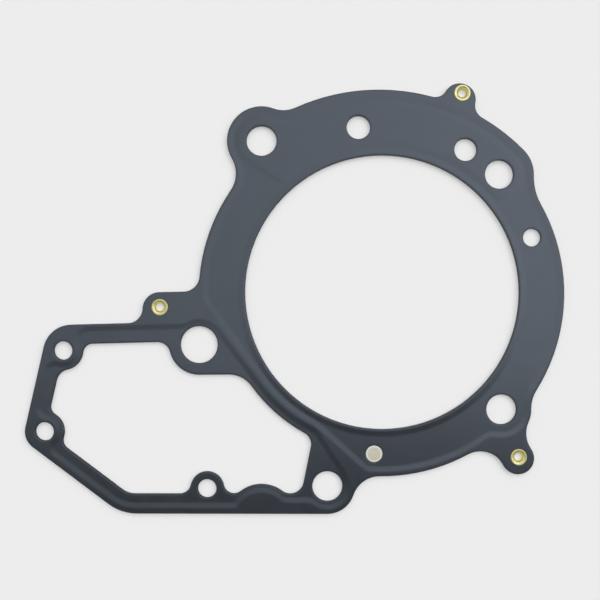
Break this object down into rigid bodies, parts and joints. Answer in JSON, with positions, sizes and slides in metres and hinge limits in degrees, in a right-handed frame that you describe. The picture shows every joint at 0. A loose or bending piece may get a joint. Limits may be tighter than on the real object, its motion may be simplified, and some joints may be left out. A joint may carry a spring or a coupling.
{
  "type": "cylinder head gasket",
  "caption": "Flat gasket of pressed steel sheets that seals a cylinder bore, its passages and a timing-chain opening between a cylinder and its head.",
  "frame": {"origin": "on the axis of the cylinder bore, in the plane of the lower sealing face", "axes": "+Z along the bore axis, out of the face that the picture shows; +X to the right of the picture, away from the timing-chain window; +Y up the picture"},
  "size_m": [0.2013, 0.1608, 0.0022],
  "materials": {
    "coated_sheet": "satin dark blue-grey elastomer coating on spring steel",
    "bare_steel": "dull rolled steel",
    "eyelet_brass": "bright yellow passivated or brass-plated eyelet"
  },
  "bodies": {
    "root": {"upper_layer": "coated_sheet", "middle_layer": "bare_steel", "lower_layer": "coated_sheet", "eyelet_left": "eyelet_brass", "eyelet_top": "eyelet_brass", "eyelet_corner": "eyelet_brass"}
  },
  "joints": []
}
